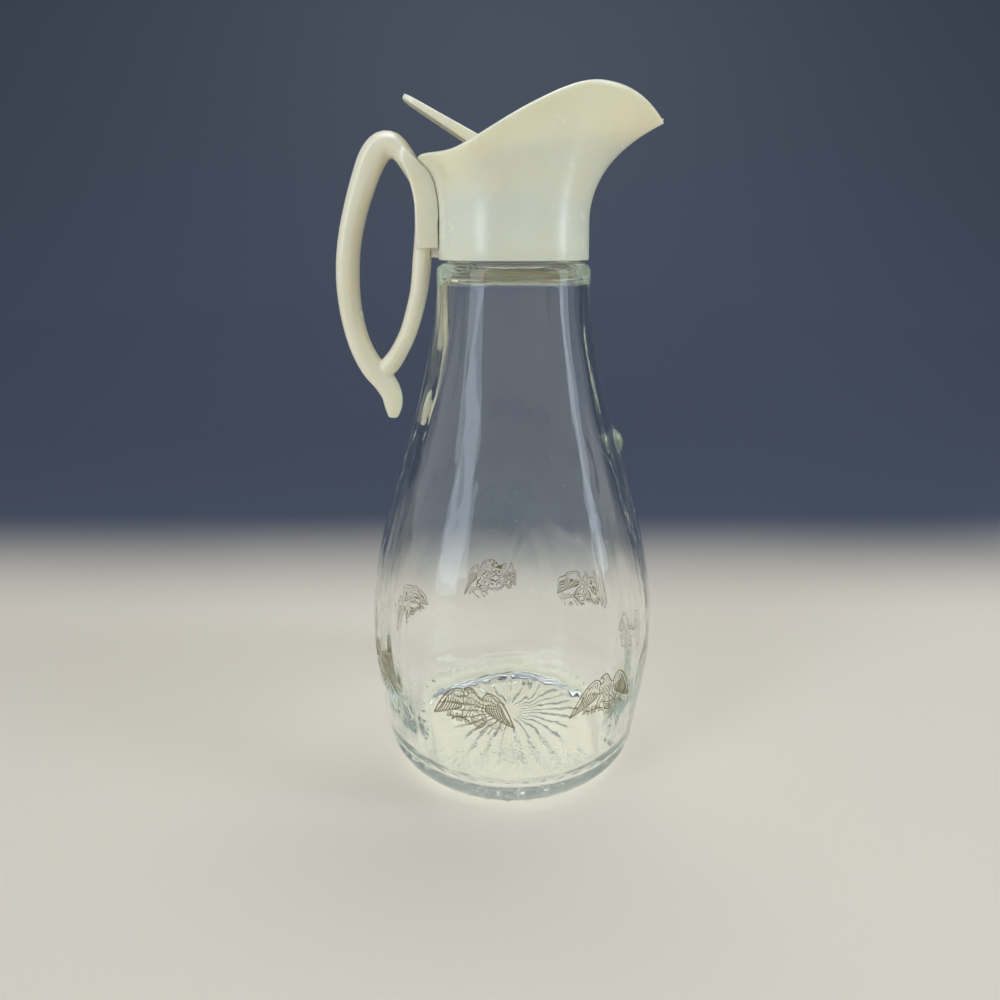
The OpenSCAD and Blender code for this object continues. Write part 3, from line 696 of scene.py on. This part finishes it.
def eagle_lines():
    """Lines in mm, each with its points and its share of the full width."""
    lines = []

    def stroke(share, *points, per=3):
        lines.append((smooth(points, per), share))

    def ticks(share, places, *steps):
        """The same short three-point line at each place."""
        for x, y in places:
            lines.append((smooth([(x + a, y + b) for a, b in steps], 1), share))

    # each wing: the sloping front edge, short lines on its top and a row of long feathers
    stroke(1.15, (-2.7, 4.9), (-3.2, 6.5), (-4.6, 7.4), (-6.4, 7.0), (-8.6, 5.1), (-11.0, 1.7),
           (-13.9, -4.0))
    stroke(0.6, (-3.5, 5.2), (-4.7, 6.5), (-6.2, 6.0), (-8.0, 4.4), (-9.7, 2.1))
    for root, tip in (((-4.3, 5.6), (-4.1, 3.7)), ((-5.1, 5.8), (-5.1, 4.2)),
                      ((-6.0, 5.6), (-6.2, 4.5)), ((-7.0, 5.0), (-7.4, 4.1)),
                      ((-8.0, 4.1), (-8.6, 3.2))):
        stroke(0.65, *bowed(root, tip, 0.07))
    lines += feathers(
        [(-9.6, 2.1), (-9.0, 2.8), (-8.1, 3.3), (-7.2, 3.7), (-6.4, 3.9), (-5.6, 3.8),
         (-4.9, 3.5), (-4.3, 3.1), (-3.8, 2.6), (-3.4, 2.1)],
        [(-13.8, -4.1), (-12.4, -3.5), (-11.1, -2.9), (-9.8, -2.3), (-8.6, -1.7),
         (-7.4, -1.1), (-6.3, -0.6), (-5.3, -0.1), (-4.4, 0.4)], 0.05)
    stroke(1.15, (2.9, 4.7), (3.5, 6.1), (4.7, 7.0), (6.2, 6.8), (8.0, 5.3), (9.9, 2.2),
           (11.4, -1.4), (12.5, -5.3))
    stroke(0.6, (3.6, 5.0), (4.6, 6.1), (6.0, 5.9), (7.4, 4.6), (8.6, 2.6))
    for root, tip in (((4.2, 5.4), (4.0, 3.7)), ((5.0, 5.7), (5.0, 4.2)),
                      ((5.8, 5.6), (6.0, 4.4)), ((6.7, 5.0), (7.0, 4.1)),
                      ((7.5, 4.1), (7.9, 3.2))):
        stroke(0.65, *bowed(root, tip, -0.07))
    lines += feathers(
        [(8.7, 2.3), (8.2, 2.9), (7.5, 3.4), (6.8, 3.7), (6.1, 3.8), (5.4, 3.7), (4.8, 3.4),
         (4.2, 3.0), (3.8, 2.5), (3.4, 2.0)],
        [(12.4, -5.3), (11.2, -4.7), (10.0, -4.0), (8.9, -3.3), (7.8, -2.6), (6.8, -1.9),
         (5.9, -1.2), (5.1, -0.6), (4.3, 0.0)], -0.05)
    # head, turned to the left, with its beak, eye and ruff
    stroke(1.1, (-2.8, 7.0), (-2.7, 7.7), (-2.1, 8.1), (-1.3, 8.5), (-0.4, 8.3), (0.3, 7.6),
           (0.8, 6.7), (1.3, 5.7), (2.1, 4.7), (2.9, 4.6))
    stroke(1.0, (-2.8, 7.0), (-2.4, 7.35), (-1.8, 7.2), (-1.45, 6.7), (-1.5, 6.1),
           (-1.9, 5.5), (-2.4, 5.2), (-2.9, 4.9))
    stroke(0.6, (-2.1, 8.0), (-1.8, 7.7), (-1.8, 7.3), per=2)
    stroke(0.7, (-1.35, 7.85), (-1.1, 7.95), (-0.9, 7.8), (-1.1, 7.65), (-1.35, 7.8), per=1)
    ticks(0.6, ((-0.4, 7.1), (0.1, 6.5), (-0.7, 6.2), (0.5, 5.7), (-0.4, 5.3), (1.2, 4.9),
                (-1.4, 5.0), (0.3, 4.8)), (-0.25, 0.3), (0, -0.25), (0.3, 0.25))
    # body
    stroke(0.9, (-2.9, 4.9), (-3.3, 3.4), (-3.0, 1.9), (-2.5, 0.8))
    stroke(0.9, (2.9, 4.6), (3.2, 3.3), (3.0, 1.8), (2.5, 0.6))
    lines += marks([(-1.9, 3.9), (-0.7, 3.8), (0.5, 3.8), (1.7, 3.9)], 0.48)
    lines += marks([(-2.4, 3.0), (-1.3, 2.9), (-0.1, 2.8), (1.1, 2.9), (2.2, 3.0)], 0.48)
    lines += marks([(-1.9, 2.0), (-0.7, 1.9), (0.5, 1.9), (1.7, 2.0)], 0.48)
    lines += marks([(-1.3, 1.0), (-0.1, 0.9), (1.1, 1.0)], 0.45)
    lines += marks([(-0.7, 0.1), (0.5, 0.1)], 0.42)
    # legs and claws
    stroke(0.95, (-2.5, 0.8), (-3.4, -0.2), (-3.7, -1.4), (-3.5, -2.3))
    stroke(0.85, (-1.1, 0.2), (-1.7, -0.8), (-2.3, -1.7), (-2.6, -2.4))
    stroke(0.95, (2.5, 0.6), (3.3, -0.3), (3.8, -1.3), (3.8, -2.2))
    stroke(0.85, (1.1, 0.1), (1.7, -0.6), (2.5, -1.3), (2.9, -2.1))
    ticks(0.6, ((-3.1, -0.3), (-2.6, -1.0), (-3.1, -1.5), (2.7, -0.3), (3.1, -1.2)),
          (-0.25, 0.25), (0, -0.25), (0.3, 0.2))
    for x in (-3.7, -3.1, -2.5):
        stroke(0.75, (x + 0.3, -2.3), (x - 0.1, -2.9), (x + 0.1, -3.7), (x + 0.4, -3.9), per=2)
    for x in (2.9, 3.5, 4.1):
        stroke(0.75, (x - 0.1, -2.1), (x + 0.1, -2.8), (x - 0.1, -3.4), per=2)
    # tail behind the shield
    stroke(0.8, (-0.9, -0.6), (-1.3, -1.6), (-1.5, -2.6), per=2)
    stroke(0.7, (0.0, -0.7), (-0.2, -1.3), (-0.3, -1.8), per=2)
    stroke(0.7, (0.9, -0.6), (1.2, -1.3), (1.5, -2.2), per=2)
    # shield, tilted, with its stripes
    top_left, middle, top_right, point = (-0.6, -2.0), (1.6, -2.9), (3.7, -3.1), (1.5, -5.9)
    stroke(1.0, top_left, (0.2, -2.5), middle)
    stroke(1.0, middle, (2.7, -3.0), top_right)
    stroke(1.1, top_left, (-0.6, -3.5), (0.0, -4.9), point)
    stroke(1.1, top_right, (3.6, -4.4), (2.8, -5.4), point)
    stroke(0.7, (-0.65, -2.9), (1.5, -3.75), (3.7, -4.0))
    stripes = 6
    for k in range(1, stripes + 1):
        t = k / (stripes + 1)
        stroke(0.6, (-0.65 + 4.3 * t, -2.9 - 1.7 * t + 0.6 * t * t),
               (-0.15 + 3.3 * t, -4.4 - 3.4 * t + 2.6 * t * t))
    # branch with its leaves
    stroke(0.9, (-8.4, -3.1), (-6.9, -3.5), (-5.2, -3.3), (-3.4, -3.3), (-1.2, -4.1), per=4)
    for root, tip in (((-7.9, -3.2), (-9.2, -3.9)), ((-7.7, -3.3), (-8.9, -2.3)),
                      ((-7.0, -3.5), (-7.6, -1.5)), ((-6.6, -3.5), (-7.3, -4.7)),
                      ((-5.7, -3.4), (-5.5, -1.8)), ((-5.4, -3.3), (-5.6, -4.9)),
                      ((-4.3, -3.3), (-4.4, -4.9)), ((-4.5, -3.3), (-4.1, -1.9)),
                      ((-2.4, -3.6), (-2.7, -5.1)), ((-1.7, -3.9), (-1.1, -5.4))):
        lines += leaf(root, tip, 0.24)
    # arrows, with heads to the right and feathered ends below the shield
    for start, end in (((3.7, -4.0), (8.4, -5.2)), ((3.6, -4.5), (7.4, -5.9)),
                       ((3.7, -3.6), (7.0, -3.6))):
        stroke(0.8, start, between(start, end, 0.98))
        dx, dy = heading(start, end)
        tip = (end[0] + dx * HEAD_LONG, end[1] + dy * HEAD_LONG)
        a = (end[0] - dy * HEAD_HALF, end[1] + dx * HEAD_HALF)
        b = (end[0] + dy * HEAD_HALF, end[1] - dx * HEAD_HALF)
        lines.append(([a, tip, b, end, between(end, a, 0.96)], 0.75))
    for start, end in (((0.3, -7.1), (2.7, -5.6)), ((1.9, -7.9), (4.1, -5.3)),
                       ((4.4, -8.2), (6.0, -5.6))):
        stroke(0.8, start, end)
        dx, dy = heading(start, end)
        for j in range(3):
            p = (start[0] + dx * VANE * j, start[1] + dy * VANE * j)
            for s in (-1, 1):
                q = (p[0] - dx * VANE - dy * VANE * s, p[1] - dy * VANE + dx * VANE * s)
                stroke(0.55, p, q, per=1)
    return lines


def drawn_eagle():
    """One eagle in gold enamel lines, flat in the XY plane, in mm."""
    drawing = bpy.data.curves.new("eagle_lines", "CURVE")
    drawing.dimensions = "3D"
    drawing.bevel_depth = LINE_HALF
    drawing.bevel_resolution = 0
    drawing.use_fill_caps = True
    for points, share in eagle_lines():
        line = drawing.splines.new("POLY")
        line.points.add(len(points) - 1)
        for i, (point, (x, y)) in enumerate(zip(line.points, points)):
            point.co = (x, y, 0, 1)
            point.radius = share * (LINE_END if i in (0, len(points) - 1) else 1.0)
    obj = bpy.data.objects.new("eagle_drawing", drawing)
    bpy.context.collection.objects.link(obj)
    only(obj)
    bpy.ops.object.convert(target="MESH")
    obj = bpy.context.object
    editing(obj)
    bpy.ops.mesh.select_all(action="SELECT")
    bpy.ops.mesh.remove_doubles(threshold=0.002)
    return done(obj)


def make_eagles():
    """The drawing, once for each eagle, laid round the glass and a little proud of it."""
    flat = drawn_eagle()
    copies = []
    for k in range(EAGLES):
        obj = flat if k == EAGLES - 1 else bpy.data.objects.new("eagle", flat.data.copy())
        if obj is not flat:
            bpy.context.collection.objects.link(obj)
        centre = EAGLE_TURN + TAU * k / EAGLES
        for v in obj.data.vertices:
            x, y, lift = v.co
            z = EAGLE_Z + y
            r = wall_r(z)
            turn = centre + x / r
            r += lift / LINE_HALF * LINE_RISE
            v.co = (r * MM * math.cos(turn), r * MM * math.sin(turn), z * MM)
        copies.append(obj)
    bpy.ops.object.select_all(action="DESELECT")
    for obj in copies:
        obj.select_set(True)
    bpy.context.view_layer.objects.active = copies[0]
    bpy.ops.object.join()
    obj = bpy.context.object
    editing(obj)
    bpy.ops.mesh.select_all(action="SELECT")
    bpy.ops.mesh.normals_make_consistent(inside=False)
    done(obj)
    obj.name = obj.data.name = "gold_eagles"
    obj.data.materials.clear()
    obj.data.materials.append(GOLD)
    bpy.ops.object.shade_smooth_by_angle(angle=math.radians(60))
    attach(obj, "bottle")


make_eagles()


# ---- Pouring top, sizes in mm ----

COLLAR_Z = 173.6
FLARE_Z = COLLAR_Z + 11.4
BOWL_Z, DECK_Z = 193.1, 191.3
COLLAR_BASE_R, COLLAR_TOP_R, SOCKET_R, HOLE_R = 23.3, 23.0, 21.7, 15.5
TIP_X, TIP_Z = 43.9, COLLAR_Z + 38
BACK_X, BACK_Z = 28.7, COLLAR_Z + 28.3
BRIM_W, BRIM_X, BRIM_POWER = 27.0, 2.0, 2.2
CREST_X, CREST_Z = 24.0, COLLAR_Z + 45
SPOUT_WALL, BEAK_WALL = 1.8, 1.27  # the pointed beak is so many times as thick at its tip
DRIP_OUT, DRIP_UP = 0.55, 0.15
# the rim's height from back to beak: place, height and slope
RIM_KNOTS = [(-BACK_X, BACK_Z, -0.02), (-15.0, COLLAR_Z + 28.9, 0.41),
             (4.0, COLLAR_Z + 38.5, 0.47), (CREST_X, CREST_Z, 0), (TIP_X, TIP_Z, -0.85)]
# at the beak, at the sides and at the back: how steeply the wall meets the rim, in degrees,
# and how far the collar and the rim pull it
LEAN, FOOT_PULL, RIM_PULL = (25, 72, 50), (14, 9, 13.5), (11, 9, 4.5)
TOP_STEPS, WALL_ROWS, RIM_ROWS = 144, 30, 10
# radius, height and width of each softened corner
TOP_CORNERS = ((COLLAR_BASE_R, COLLAR_Z, 0.45), (SOCKET_R, COLLAR_Z, 0.4),
               (HOLE_R, BOWL_Z, 0.5), (HOLE_R, DECK_Z, 0.3))
HINGE_X, HINGE_Z = -8.5, COLLAR_Z + 28.6
EAR_Y, EAR_R, EAR_LONG, EAR_CORNER = 20.9, 2.7, 5.8, 0.35
RAIL_X, RAIL_Z = -COLLAR_BASE_R - 0.8, COLLAR_Z + 9.3
RAIL_SIZE, RAIL_CORNER = (2.8, 5.1, 17.2), 0.4


def hermite(a, b, x):
    """Height at x between two points (place, height, slope)."""
    run = b[0] - a[0]
    s = (x - a[0]) / run
    return ((2 * s ** 3 - 3 * s * s + 1) * a[1] + (s ** 3 - 2 * s * s + s) * run * a[2]
            + (3 * s * s - 2 * s ** 3) * b[1] + (s ** 3 - s * s) * run * b[2])


def rim_z(x):
    for a, b in zip(RIM_KNOTS, RIM_KNOTS[1:]):
        if x <= b[0] or b is RIM_KNOTS[-1]:
            return hermite(a, b, x)


def rim(a, depth):
    """The rim's point at turn a: a teardrop with its beak at turn 0."""
    c = math.cos(a)
    w = BRIM_W - depth
    reach = TIP_X - BEAK_WALL * depth + BRIM_X if c > 0 else BACK_X - depth - BRIM_X
    x = -BRIM_X + reach * c
    y = w * (1 - c ** BRIM_POWER) if c > 0 else w * math.sqrt(max(0.0, 1 - c * c))
    return (x, -y if math.sin(a) < 0 else y, rim_z(x))


def around(values, a):
    """A value at turn a, from its values at the beak, at the sides and at the back."""
    c = math.cos(a)
    return values[1] + (values[0 if c > 0 else 2] - values[1]) * c * c


def spout_point(a, t, depth):
    """Point at turn a and height share t of the spout's face, set in by depth, in mm."""
    r = COLLAR_TOP_R - depth
    foot = (r * math.cos(a), r * math.sin(a), FLARE_Z)
    top = rim(a, depth)
    flat = Vector((top[0] - foot[0], top[1] - foot[1], 0)).normalized()
    lean = math.radians(around(LEAN, a))
    pull = around(RIM_PULL, a)
    low = (foot[0], foot[1], foot[2] + around(FOOT_PULL, a))
    high = (top[0] - pull * math.cos(lean) * flat.x, top[1] - pull * math.cos(lean) * flat.y,
            top[2] - pull * math.sin(lean))
    return cubic(foot, low, high, top, t)


def level(a, z, depth):
    """The share of the spout's face at which it reaches a height."""
    low, high = 0.0, 1.0
    for _ in range(20):
        middle = (low + high) / 2
        if spout_point(a, middle, depth)[2] < z:
            low = middle
        else:
            high = middle
    return low


def lofted(rings):
    """A band through rings of points in mm, drawn by extruding a circle ring by ring."""
    count = len(rings[0])
    bpy.ops.mesh.primitive_circle_add(vertices=count, radius=MM)
    obj = bpy.context.object
    bpy.ops.object.mode_set(mode="EDIT")
    bpy.ops.mesh.select_mode(type="VERT")
    bpy.ops.mesh.select_all(action="SELECT")
    for _ in rings[1:]:
        bpy.ops.mesh.extrude_region_move(TRANSFORM_OT_translate={"value": (0, 0, MM)})
    bm = bmesh.from_edit_mesh(obj.data)
    rows = {}
    for v in bm.verts:
        turn = math.atan2(v.co.y, v.co.x) % TAU
        rows.setdefault(round(v.co.z / MM), []).append((turn, v))
    for j, points in enumerate(rings):
        for turn, v in rows[j]:
            k = round(turn / TAU * count) % count
            v.co = Vector(points[k]) * MM
    bmesh.update_edit_mesh(obj.data)
    return obj


def ring(radius, z):
    return [(radius * math.cos(i * TAU / TOP_STEPS), radius * math.sin(i * TAU / TOP_STEPS), z)
            for i in range(TOP_STEPS)]


def spout_ring(depth, t, from_z=None):
    """A ring of the spout's face, at share t of its height above the collar or from_z."""
    points = []
    for i in range(TOP_STEPS):
        a = i * TAU / TOP_STEPS
        start = 0.0 if from_z is None else level(a, from_z, depth)
        points.append(spout_point(a, start + (1 - start) * t, depth))
    return points


def rim_ring(j):
    """Step j over the rounded edge, from the outer face to the inner one."""
    turn = j * math.pi / RIM_ROWS
    depth = SPOUT_WALL * (1 - math.cos(turn)) / 2
    lift = 0.45 * SPOUT_WALL * math.sin(turn)
    return [(p[0], p[1], p[2] + lift) for p in spout_ring(depth, 1)]


def make_pouring_top():
    outside = [ring(COLLAR_BASE_R, COLLAR_Z), ring(COLLAR_BASE_R - 0.1, COLLAR_Z + 4),
               ring(COLLAR_BASE_R - 0.2, COLLAR_Z + 8)]
    outside += [spout_ring(0, j / WALL_ROWS) for j in range(WALL_ROWS + 1)]
    over = [rim_ring(j) for j in range(1, RIM_ROWS)]
    inside = [spout_ring(SPOUT_WALL, j / WALL_ROWS, BOWL_Z) for j in range(WALL_ROWS, -1, -1)]
    under = [ring(HOLE_R, BOWL_Z), ring(HOLE_R, DECK_Z), ring(SOCKET_R, DECK_Z),
             ring(SOCKET_R, COLLAR_Z)]
    tip = over[2][0]
    over[2][0] = (tip[0] + DRIP_OUT, tip[1], tip[2] + DRIP_UP)
    obj = lofted(outside + over + inside + under)
    pick(bmesh.from_edit_mesh(obj.data).edges, lambda edge: edge.is_boundary)
    bpy.ops.mesh.bridge_edge_loops()
    bpy.ops.mesh.select_all(action="SELECT")
    bpy.ops.mesh.normals_make_consistent(inside=False)
    for radius, z, width in TOP_CORNERS:
        bpy.ops.mesh.select_all(action="DESELECT")
        select_edges(bmesh.from_edit_mesh(obj.data),
                     lambda c: abs(c.z - z * MM) < 1e-5
                     and abs(math.hypot(c.x, c.y) - radius * MM) < 2e-5)
        bpy.ops.mesh.bevel(offset=width * MM, segments=3, affect="EDGES")
    done(obj)

    for side in (-1, 1):
        bpy.ops.mesh.primitive_cylinder_add(
            vertices=8, radius=EAR_R * MM, depth=EAR_LONG * MM,
            location=(HINGE_X * MM, side * EAR_Y * MM, HINGE_Z * MM),
            rotation=(math.pi / 2, 0, 0))
        combine(obj, soften_all(settle(bpy.context.object), EAR_CORNER, 2))
    bpy.ops.mesh.primitive_cube_add(size=1, location=(RAIL_X * MM, 0, RAIL_Z * MM),
                                    scale=[side * MM for side in RAIL_SIZE])
    combine(obj, soften_all(settle(bpy.context.object), RAIL_CORNER, 3))
    combine(obj, helix_ridge(SOCKET_R, THREAD_LOW - THREAD_PITCH / 2, -THREAD_DEPTH,
                             SOCKET_THREAD_HALF))
    finish_piece(obj, "pouring_top", "pour_top", IVORY, ["pour_spout"], 40)


make_pouring_top()


# ---- Handle, lid, seal and pin, sizes in mm ----

BLEND_Z, BLEND_X = COLLAR_Z + 15, (-33.5, -26.5)  # where the loop grows out of its bracket
SEAL_R, SEAL_LOW, SEAL_THICK, SEAL_CORNER = (16.9, 21.1), LIP_Z + 0.05, 1.2, 0.3
PIN_R, PIN_LONG, PIN_CORNER = 1.0, 42, 0.25


def moulded_copy(node, voxel, rounds):
    """A CAD node's solid with its corners run together as a mould leaves them."""
    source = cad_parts[node]
    obj = bpy.data.objects.new(node + "_copy", source.data.copy())
    bpy.context.collection.objects.link(obj)
    editing(obj)
    bpy.ops.mesh.select_all(action="SELECT")
    bpy.ops.mesh.remove_doubles(threshold=0.000002)
    done(obj)
    obj.data.remesh_voxel_size = voxel * MM
    obj.data.use_remesh_fix_poles = False
    only(obj)
    bpy.ops.object.voxel_remesh()
    return modify(obj, "SMOOTH", factor=0.5, iterations=rounds)


def make_handle():
    """The loop, with the top of its bracket blended into it as one moulding."""
    obj = moulded_copy("handle", voxel=0.42, rounds=8)
    root = obj.vertex_groups.new(name="root")
    near = [v.index for v in obj.data.vertices
            if v.co.z > BLEND_Z * MM and BLEND_X[0] * MM < v.co.x < BLEND_X[1] * MM]
    root.add(near, 1.0, "REPLACE")
    modify(obj, "SMOOTH", factor=0.5, iterations=40, vertex_group="root")
    finish_piece(obj, "loop_handle", "pour_top", IVORY, ["handle"], 60)


def make_lid():
    obj = moulded_copy("lid", voxel=0.34, rounds=3)
    finish_piece(obj, "flap_lid", "lid", IVORY, ["lid"], 60)


def make_seal():
    """A flat ring with its corners cut."""
    (inner, outer), low, cut = SEAL_R, SEAL_LOW, SEAL_CORNER
    high = low + SEAL_THICK
    obj = turned([(inner + cut, low), (outer - cut, low), (outer, low + cut),
                  (outer, high - cut), (outer - cut, high), (inner + cut, high),
                  (inner, high - cut), (inner, low + cut), (inner + cut, low)], 120)
    finish_piece(obj, "mouth_liner", "seal", LINER, ["mouth_seal"], 50)


def make_pin():
    bpy.ops.mesh.primitive_cylinder_add(
        vertices=48, radius=PIN_R * MM, depth=PIN_LONG * MM,
        location=(HINGE_X * MM, 0, HINGE_Z * MM), rotation=(math.pi / 2, 0, 0))
    obj = settle(bpy.context.object)
    bm = editing(obj)
    select_edges(bm, lambda c: abs(abs(c.y) - PIN_LONG / 2 * MM) < 1e-6)
    bpy.ops.mesh.bevel(offset=PIN_CORNER * MM, segments=3, affect="EDGES")
    done(obj)
    finish_piece(obj, "steel_pin", "pour_top", STEEL, ["hinge_pin"], 40)


make_handle()
make_lid()
make_seal()
make_pin()


# ---- Floor and light, sizes in metres ----

FLOOR_SIZE, FLOOR_Y, FLOOR_RISE, FLOOR_BEND = 6, -1.9, 3, 0.75
FLOOR_DARK, BACKDROP_PALE = (0.10, 0.26), (0.6, 1.0)  # behind the object, and high up
PALE, DARK, SKY = (0.78, 0.70, 0.58), (0.06, 0.075, 0.11), (0.55, 0.6, 0.66)


def make_floor():
    """A pale floor that darkens behind the object and sweeps up into a backdrop."""
    bpy.ops.mesh.primitive_plane_add(size=FLOOR_SIZE, location=(0, FLOOR_Y, 0))
    floor = settle(bpy.context.object)
    floor.name = "floor"
    bm = editing(floor)
    select_edges(bm, lambda c: c.y > 1)
    bpy.ops.mesh.extrude_region_move(TRANSFORM_OT_translate={"value": (0, 0, FLOOR_RISE)})
    bpy.ops.mesh.select_all(action="DESELECT")
    select_edges(bmesh.from_edit_mesh(floor.data), lambda c: c.y > 1 and abs(c.z) < 0.01)
    bpy.ops.mesh.bevel(offset=FLOOR_BEND, segments=32, affect="EDGES")
    done(floor)
    f = Finish("pale_floor")
    tone = f.mix(f.step(f.along("Y") + f.noise(4, 2) * 0.03, *FLOOR_DARK), PALE, DARK)
    floor.data.materials.append(f.surface({
        "Base Color": f.mix(f.step(f.along("Z"), *BACKDROP_PALE), tone, SKY),
        "Roughness": 0.6, "Specular IOR Level": 0.2}))
    only(floor)
    bpy.ops.object.shade_smooth()


SOFTBOX_LAYERS = ((0.4, 1.0), (0.33, 0.78), (0.27, 0.52))  # shares of power and of width
AIM = Vector((0, 0, 0.12))


def softbox(name, place, size, power, colour=(1, 1, 1), gloss_only=False):
    """A cloth-covered lamp, brighter in its middle than at its edges."""
    for layer, (share, width) in enumerate(SOFTBOX_LAYERS):
        data = bpy.data.lights.new(f"{name}_{layer}", "AREA")
        data.shape = "RECTANGLE"
        data.size, data.size_y = size[0] * width, size[1] * width
        data.energy = power * share
        data.color = colour
        lamp = bpy.data.objects.new(data.name, data)
        bpy.context.collection.objects.link(lamp)
        lamp.location = place
        lamp.visible_diffuse = not gloss_only
        lamp.rotation_euler = (AIM - Vector(place)).to_track_quat("-Z", "Y").to_euler()


ROOM_GLOW, GLOW_STRENGTH, ROOM_SEEN = (0.62, 0.66, 0.72, 1), 0.5, (0.42, 0.46, 0.52, 1)
COOL, NEARLY_WHITE = (0.78, 0.88, 1), (0.94, 0.97, 1)


def make_light():
    """A weak room light, which shows stronger in gloss and glass, and five softboxes."""
    world = bpy.data.worlds.new("studio")
    bpy.context.scene.world = world
    world.use_nodes = True
    tree = world.node_tree

    def added(kind, *inputs, **settings):
        made = tree.nodes.new(kind)
        for key, value in settings.items():
            setattr(made, key, value)
        for socket, link in zip(made.inputs, inputs):
            tree.links.new(link, socket)
        return made.outputs

    glow = tree.nodes["Background"]
    glow.inputs["Color"].default_value = ROOM_GLOW
    glow.inputs["Strength"].default_value = GLOW_STRENGTH
    room = added("ShaderNodeBackground")[0]
    room.node.inputs["Color"].default_value = ROOM_SEEN
    path = added("ShaderNodeLightPath")
    seen = added("ShaderNodeMath", path["Is Glossy Ray"], path["Is Transmission Ray"],
                 operation="MAXIMUM")[0]
    seen = added("ShaderNodeMath", seen, path["Is Camera Ray"], operation="MAXIMUM")[0]
    both = added("ShaderNodeMixShader", seen, glow.outputs[0], room)[0]
    tree.links.new(both, tree.nodes["World Output"].inputs["Surface"])
    softbox("strip_left", (-0.66, -0.54, 0.48), (0.28, 0.9), 4.4, COOL)
    softbox("strip_right", (0.72, -0.18, 0.46), (0.2, 0.95), 3.6, COOL)
    softbox("skylight", (0.08, 0.47, 1.5), (1.2, 0.5), 7.6)
    softbox("window", (-0.55, -0.8, 1.6), (1.1, 0.8), 2.2)
    softbox("ceiling", (0, -0.15, 1.15), (1.1, 0.8), 15, NEARLY_WHITE, gloss_only=True)


make_floor()
make_light()
